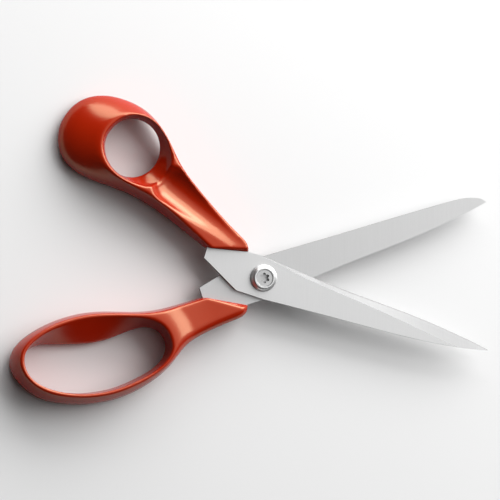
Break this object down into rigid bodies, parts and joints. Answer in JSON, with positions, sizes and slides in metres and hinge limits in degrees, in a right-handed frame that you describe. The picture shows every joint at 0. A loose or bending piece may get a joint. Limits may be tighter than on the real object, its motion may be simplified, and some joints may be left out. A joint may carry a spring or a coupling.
{
  "type": "fabric shears",
  "caption": "Right-handed bent-handle fabric shears: two pivoting steel blades with a round thumb ring and a long finger loop, on a screw-adjusted pivot.",
  "frame": {"origin": "on the pivot axis, at the centre of the pivot nut's flat rear face", "axes": "+Z along the pivot axis from the nut to the screw head; +X midway between the open blades towards their tips; +Y from the finger loop's side to the thumb ring's side"},
  "size_m": [0.2292, 0.1457, 0.017],
  "materials": {
    "blade_steel": "ground and satin finished, fine grain across the blade",
    "handle_plastic": "glossy moulded plastic, deep orange-red",
    "pivot_metal": "turned and polished",
    "screw_metal": "satin, turned head",
    "spring_steel": "bright spring steel",
    "washer_plastic": "white low-friction plastic"
  },
  "bodies": {
    "rear_half": {"rear_blade": "blade_steel", "finger_handle": "handle_plastic", "pivot_nut": "pivot_metal", "pivot_collar": "pivot_metal", "spring_washer": "spring_steel", "thrust_washer": "washer_plastic"},
    "front_half": {"front_blade": "blade_steel", "thumb_handle": "handle_plastic"},
    "screw": {"pivot_screw": "screw_metal"}
  },
  "joints": [
    {"name": "blade_pivot", "type": "hinge", "parent": "rear_half", "child": "front_half", "pos_m": [0, 0, 0.0045], "axis": [0, 0, 1], "range_deg": [-58, 35.5]},
    {"name": "tension_adjust", "type": "hinge", "parent": "rear_half", "child": "screw", "pos_m": [0, 0, 0.0045], "axis": [0, 0, 1], "range_deg": [-30, 30]}
  ]
}
